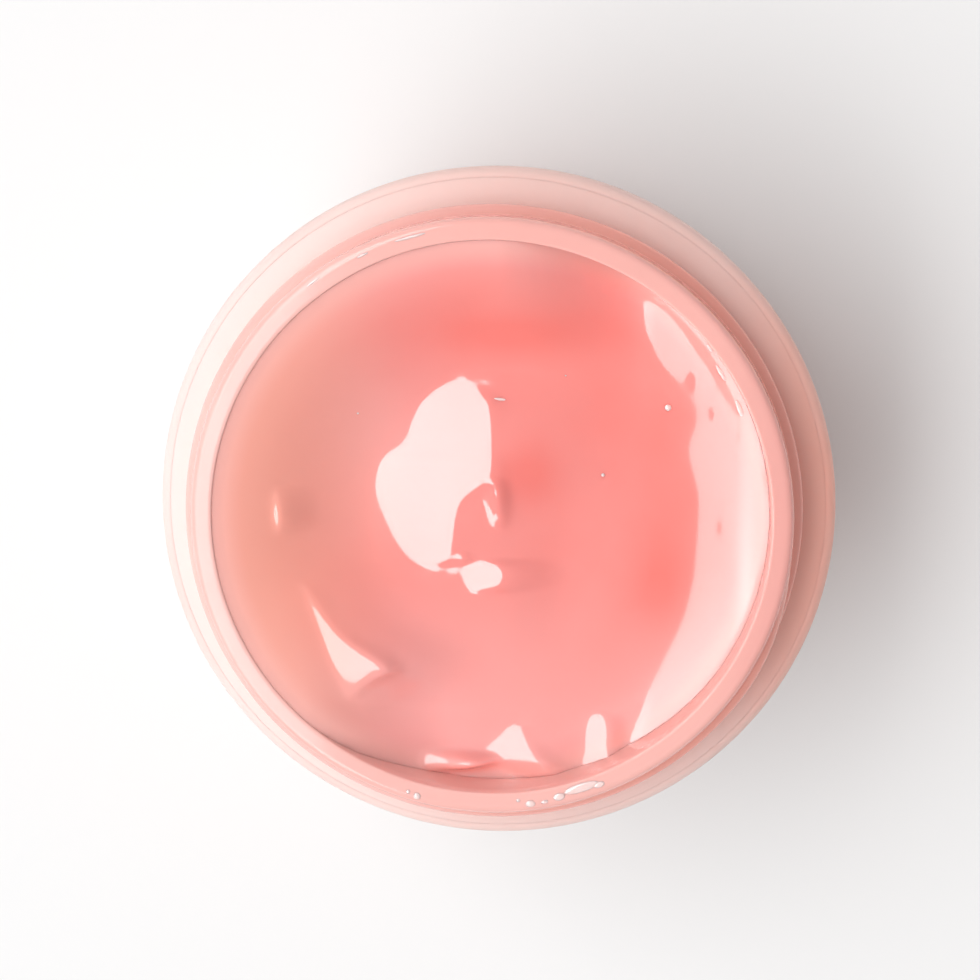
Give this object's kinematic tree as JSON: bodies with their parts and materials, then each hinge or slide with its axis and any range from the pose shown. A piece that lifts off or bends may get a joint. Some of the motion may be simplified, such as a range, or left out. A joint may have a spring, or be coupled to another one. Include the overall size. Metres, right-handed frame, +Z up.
{
  "type": "cosmetic cream jar",
  "caption": "Open round double-walled cream jar: frosted outer shell, lift-out inner cup with threaded neck and flat rim, filled with a swirled gel cream.",
  "frame": {"origin": "centre of the base, on the surface that the jar stands on", "axes": "+Z up along the jar's axis; +X and +Y lie in the plane of the base"},
  "size_m": [0.062, 0.062, 0.0425],
  "materials": {
    "shell_plastic": "frosted, translucent",
    "cup_plastic": "smooth, translucent",
    "cream_gel": "wet, swirled gel"
  },
  "bodies": {
    "shell_body": {"outer_shell": "shell_plastic"},
    "cup_body": {"inner_cup": "cup_plastic", "cream": "cream_gel"}
  },
  "joints": [
    {"name": "inner_cup_lift", "type": "slide", "parent": "shell_body", "child": "cup_body", "axis": [0, 0, 1], "range_m": [0, 0.036]}
  ]
}
